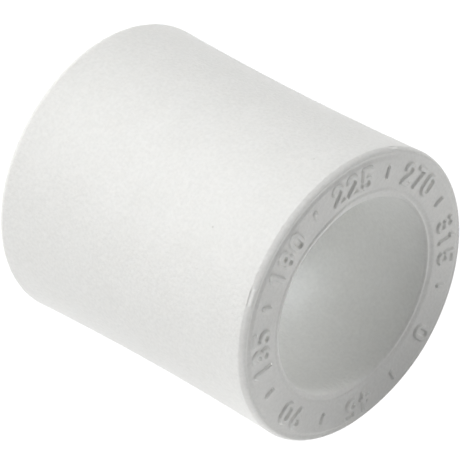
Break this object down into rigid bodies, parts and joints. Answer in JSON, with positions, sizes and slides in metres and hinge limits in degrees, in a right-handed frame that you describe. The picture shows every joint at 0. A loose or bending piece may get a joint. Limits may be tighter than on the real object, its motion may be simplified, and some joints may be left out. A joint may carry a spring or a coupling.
{
  "type": "pipe coupling",
  "caption": "Straight white plastic sleeve with a pipe socket in each end and a stop ring between them, for joining plastic pipes of equal size by heat fusion.",
  "frame": {"origin": "centre of the plain lower end face, where the bore's axis meets it", "axes": "+Z along the bore towards the end with the raised numbers, +Y towards the number 0 of its angle scale"},
  "size_m": [0.0286, 0.0286, 0.0316],
  "materials": {
    "white_polypropylene": "satin moulded plastic, slightly translucent, with a fine moulded grain"
  },
  "bodies": {
    "root": {"coupling_body": "white_polypropylene"}
  },
  "joints": []
}
